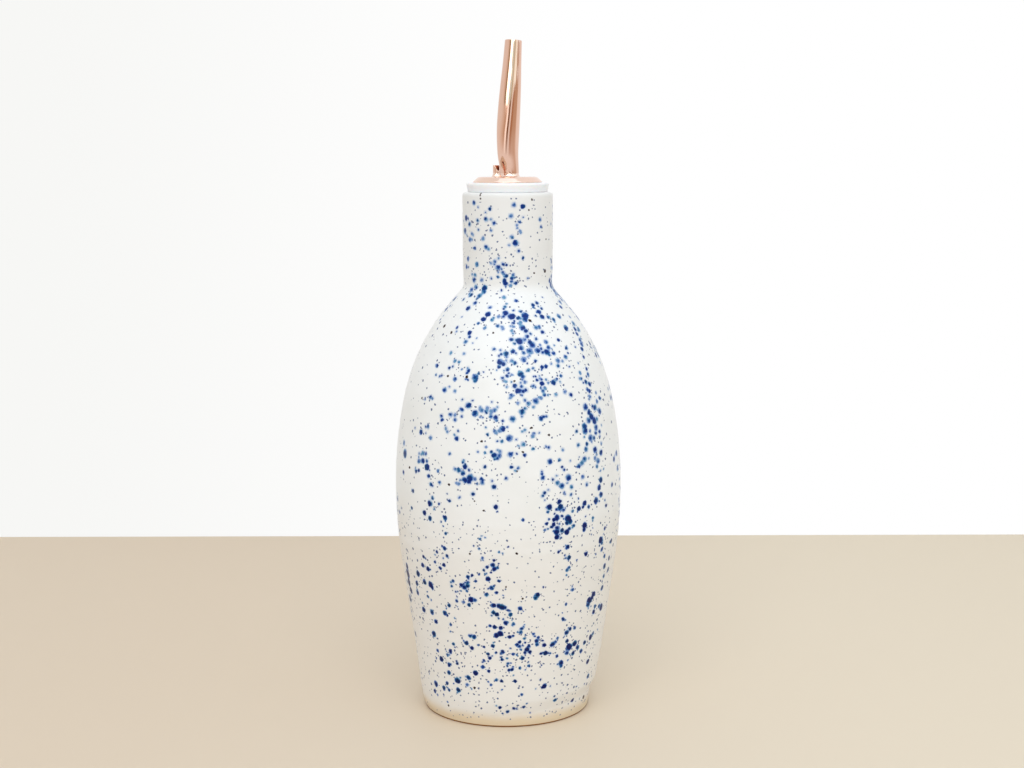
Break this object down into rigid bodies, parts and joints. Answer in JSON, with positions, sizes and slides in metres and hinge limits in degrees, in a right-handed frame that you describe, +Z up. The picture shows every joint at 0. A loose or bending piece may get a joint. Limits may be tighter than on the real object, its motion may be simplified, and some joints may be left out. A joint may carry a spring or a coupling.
{
  "type": "pouring bottle",
  "caption": "Tall rounded stoneware oil bottle with a straight neck and a lift-out silicone stopper carrying a curved copper-coloured pour spout and an air tube.",
  "frame": {"origin": "centre of the foot ring, on the surface the bottle stands on", "axes": "+Z up along the bottle's axis, +X the way the spout pours, the air tube on the -X side"},
  "size_m": [0.091, 0.091, 0.2681],
  "materials": {
    "glaze": "satin off-white glaze with cobalt speckle",
    "silicone": "satin white",
    "copper_plate": "polished rose copper plating on steel"
  },
  "bodies": {
    "bottle": {"bottle": "glaze"},
    "pourer": {"stopper": "silicone", "cap_disc": "copper_plate", "spout_tube": "copper_plate", "air_tube": "copper_plate"}
  },
  "joints": [
    {"name": "pourer_lift", "type": "slide", "parent": "bottle", "child": "pourer", "axis": [0, 0, 1], "range_m": [0, 0.055]}
  ]
}
